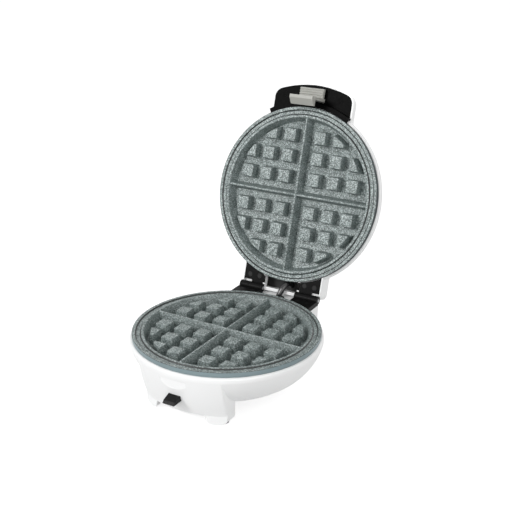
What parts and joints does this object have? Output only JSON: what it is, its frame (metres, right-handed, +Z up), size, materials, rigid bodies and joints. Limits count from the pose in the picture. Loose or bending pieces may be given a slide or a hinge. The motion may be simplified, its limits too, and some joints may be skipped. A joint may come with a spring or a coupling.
{
  "type": "waffle maker",
  "caption": "Round electric waffle maker with a hinged domed lid, cast grid plates, a handle with a spring latch and a white footed base.",
  "frame": {"origin": "on the worktop under the axis of the lower plate", "axes": "+Z up, -Y towards the handle side of the closed appliance, +X to its right, along the hinge pins"},
  "size_m": [0.195, 0.2996, 0.2741],
  "materials": {
    "white_shell": "glossy white moulding",
    "granite_plate": "cast aluminium with a speckled grey non-stick coating",
    "heater_steel": "drawn steel tube",
    "bright_sheet": "bright sheet",
    "screw_steel": "plated steel",
    "pin_steel": "ground steel",
    "spring_steel": "spring wire",
    "black_hinge": "satin black",
    "black_cover": "semi-gloss black moulding",
    "black_rubber": "matt black",
    "grey_latch": "warm light grey moulding",
    "thermostat_body": "pale ceramic",
    "red_lens": "red translucent",
    "green_lens": "green translucent",
    "lamp_glass": "neon lamp",
    "dark_sheet": "dark insulating sheet"
  },
  "bodies": {
    "base": {"base_housing": "white_shell", "lower_plate": "granite_plate", "lower_heating_element": "heater_steel", "base_reflector": "bright_sheet", "lower_plate_screws": "screw_steel", "thermostat": "thermostat_body", "thermal_fuse": "thermostat_body", "terminal_block": "thermostat_body", "front_switch": "black_cover", "front_button_spring": "spring_steel", "rubber_feet": "black_rubber", "cable_gland": "black_cover", "base_hinge_left": "black_hinge", "base_hinge_right": "black_hinge", "base_hinge_screws": "screw_steel", "hinge_pin_left": "pin_steel", "hinge_pin_right": "pin_steel", "wire_sleeve": "black_rubber", "sleeve_grommet": "black_rubber"},
    "lid": {"lid_housing": "white_shell", "upper_plate": "granite_plate", "upper_heating_element": "heater_steel", "lid_reflector": "bright_sheet", "upper_plate_screws": "screw_steel", "lid_hinge_left": "black_hinge", "lid_hinge_right": "black_hinge", "lid_hinge_screws": "screw_steel", "handle_insert": "black_cover", "handle_screws": "screw_steel", "power_lens": "red_lens", "ready_lens": "green_lens", "indicator_lamps": "lamp_glass", "latch_pin": "pin_steel", "latch_spring": "spring_steel", "wire_shield": "dark_sheet"},
    "latch": {"latch": "grey_latch"},
    "button": {"front_button": "black_cover"}
  },
  "joints": [
    {"name": "lid_hinge", "type": "hinge", "parent": "base", "child": "lid", "pos_m": [0, 0.1076, 0.0588], "axis": [1, 0, 0], "range_deg": [0, 107.3], "deforming": ["wire_sleeve"]},
    {"name": "latch_swing", "type": "hinge", "parent": "lid", "child": "latch", "pos_m": [0, 0.18399, 0.25632], "axis": [-1, 0, 0], "range_deg": [0, 7], "stiffness_Nm_per_rad": 0.25, "deforming": ["latch_spring"]},
    {"name": "button_slide", "type": "slide", "parent": "base", "child": "button", "axis": [0, 1, 0], "range_m": [0, 0.0025], "stiffness_N_per_m": 400, "deforming": ["front_button_spring"]}
  ]
}
